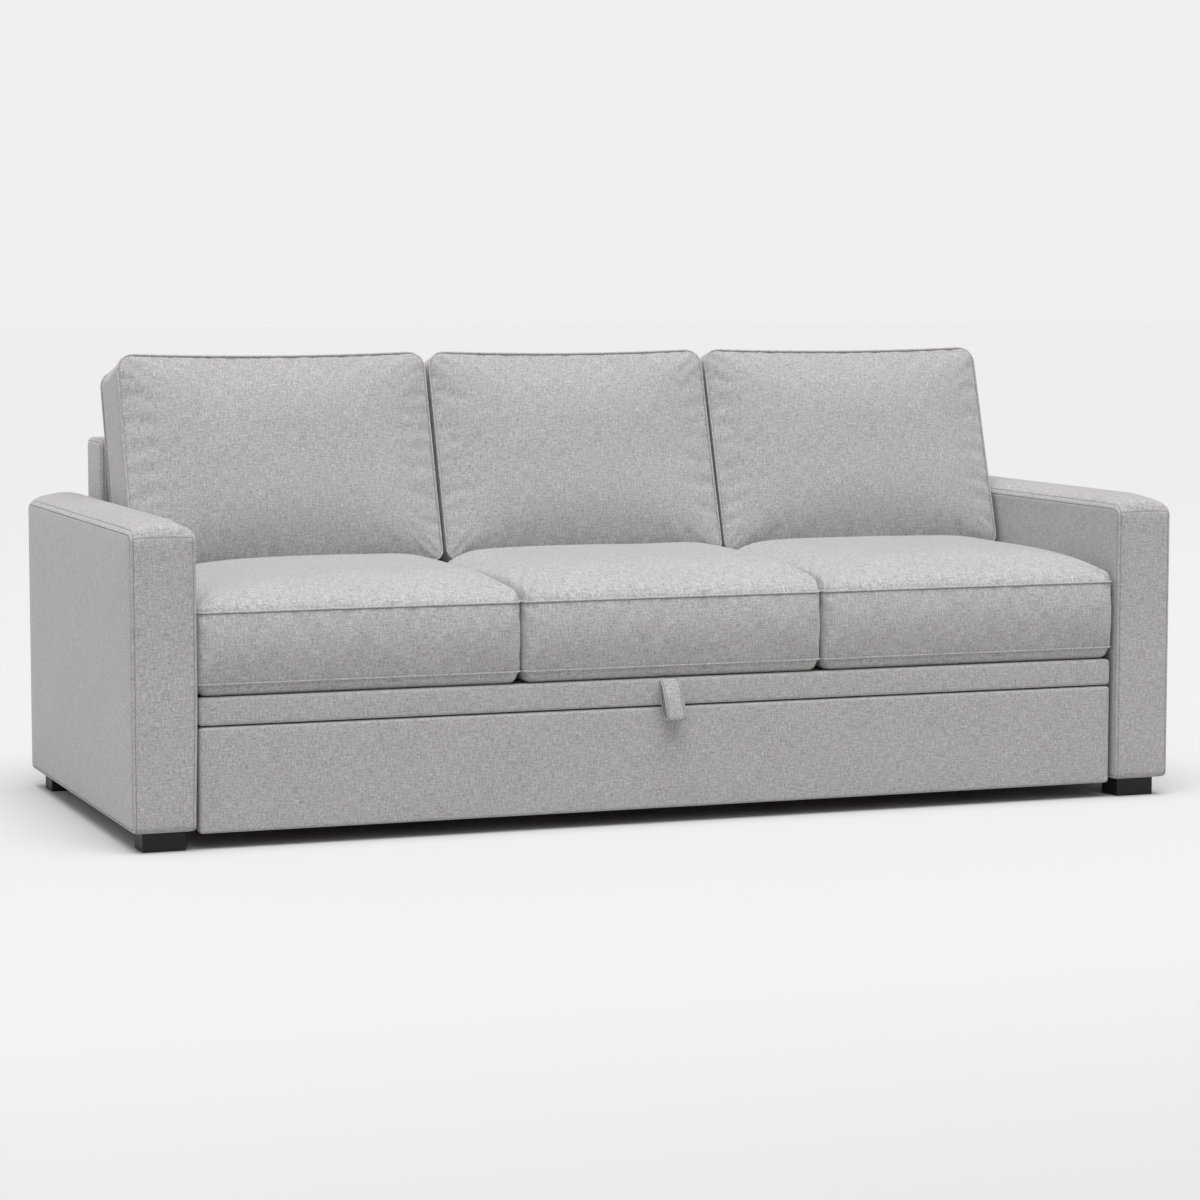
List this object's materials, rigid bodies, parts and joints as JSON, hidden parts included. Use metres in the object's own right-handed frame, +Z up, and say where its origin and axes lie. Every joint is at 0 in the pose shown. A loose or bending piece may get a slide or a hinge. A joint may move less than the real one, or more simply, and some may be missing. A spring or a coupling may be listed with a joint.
{
  "type": "sofa bed",
  "caption": "Upholstered sofa bed with box arms, boxed seat and back cushions, and a front panel that draws out a slatted bed frame on folding legs by a pull strap",
  "frame": {"origin": "on the floor, at the middle of the overall box", "axes": "+X to the right seen from the front, +Y to the rear, +Z up"},
  "size_m": [2.2, 0.9826, 0.9214],
  "materials": {
    "upholstery": "heathered plain weave, matt",
    "cushion_fabric": "heathered plain weave, matt",
    "timber": "planed softwood",
    "slat_timber": "planed softwood, eased edges",
    "board": "hardboard, matt",
    "leg_black": "satin black paint",
    "steel": "satin black powder coat",
    "zinc_steel": "bright zinc plate",
    "nylon": "matt off-white nylon",
    "rubber": "matt black",
    "strap": "heathered plain weave, matt"
  },
  "bodies": {
    "sofa_body": {"arm_cover_left": "upholstery", "arm_boards_left": "board", "arm_rails_left": "timber", "arm_posts_left": "timber", "front_leg_left": "leg_black", "rear_leg_left": "leg_black", "side_rail_left": "timber", "runner_channel_left": "zinc_steel", "stop_block_left": "rubber", "arm_cover_right": "upholstery", "arm_boards_right": "board", "arm_rails_right": "timber", "arm_posts_right": "timber", "front_leg_right": "leg_black", "rear_leg_right": "leg_black", "side_rail_right": "timber", "runner_channel_right": "zinc_steel", "stop_block_right": "rubber", "leg_bolts": "zinc_steel", "back_cover": "upholstery", "back_boards": "board", "back_rails": "timber", "back_posts": "timber", "front_cross_rail": "timber", "rear_cross_rail": "timber", "front_glide_strip": "nylon", "fixed_slats": "slat_timber", "seat_cushion_left": "cushion_fabric", "back_cushion_left": "cushion_fabric", "seat_cushion_centre": "cushion_fabric", "back_cushion_centre": "cushion_fabric", "seat_cushion_right": "cushion_fabric", "back_cushion_right": "cushion_fabric"},
    "pull_out_bed": {"front_panel_cover": "upholstery", "front_panel_board": "board", "front_rail_cover": "upholstery", "front_rail_board": "board", "front_sill": "timber", "rear_batten": "timber", "batten_glide_strip": "nylon", "moving_slats": "slat_timber", "corner_block_1": "timber", "corner_block_2": "timber", "corner_block_3": "timber", "corner_block_4": "timber", "fold_bracket_left": "zinc_steel", "fold_bracket_centre": "zinc_steel", "fold_bracket_right": "zinc_steel", "fold_pins": "zinc_steel", "roller_bracket_left": "zinc_steel", "roller_bracket_right": "zinc_steel"},
    "folding_leg_left": {"fold_leg_left": "steel", "fold_cap_left": "rubber"},
    "folding_leg_centre": {"fold_leg_centre": "steel", "fold_cap_centre": "rubber"},
    "folding_leg_right": {"fold_leg_right": "steel", "fold_cap_right": "rubber"},
    "guide_roller_left": {"guide_roller_left": "nylon"},
    "guide_roller_right": {"guide_roller_right": "nylon"},
    "pull_strap": {"pull_strap": "strap"}
  },
  "joints": [
    {"name": "bed_slide", "type": "slide", "parent": "sofa_body", "child": "pull_out_bed", "axis": [0, -1, 0], "range_m": [0, 0.6]},
    {"name": "folding_leg_left_hinge", "type": "hinge", "parent": "pull_out_bed", "child": "folding_leg_left", "pos_m": [-0.6956, -0.41575, 0.18397], "axis": [0, 1, 0], "range_deg": [0, 90]},
    {"name": "folding_leg_centre_hinge", "type": "hinge", "parent": "pull_out_bed", "child": "folding_leg_centre", "pos_m": [-0.094, -0.41575, 0.18397], "axis": [0, 1, 0], "range_deg": [0, 90]},
    {"name": "folding_leg_right_hinge", "type": "hinge", "parent": "pull_out_bed", "child": "folding_leg_right", "pos_m": [0.6956, -0.41575, 0.18397], "axis": [0, -1, 0], "range_deg": [0, 90]},
    {"name": "guide_roller_left_spin", "type": "hinge", "parent": "pull_out_bed", "child": "guide_roller_left", "pos_m": [-0.9402, 0.31375, 0.252], "axis": [1, 0, 0], "range_deg": [0, 2900]},
    {"name": "guide_roller_right_spin", "type": "hinge", "parent": "pull_out_bed", "child": "guide_roller_right", "pos_m": [0.9402, 0.31375, 0.252], "axis": [1, 0, 0], "range_deg": [0, 2900]},
    {"name": "pull_strap_hinge", "type": "hinge", "parent": "pull_out_bed", "child": "pull_strap", "pos_m": [-0.01, -0.46225, 0.2895], "axis": [-1, 0, 0], "range_deg": [0, 70]}
  ],
  "couplings": [
    {"joint": "guide_roller_left_spin", "follows": "bed_slide", "rad_per_m": 83.333},
    {"joint": "guide_roller_right_spin", "follows": "bed_slide", "rad_per_m": 83.333}
  ]
}
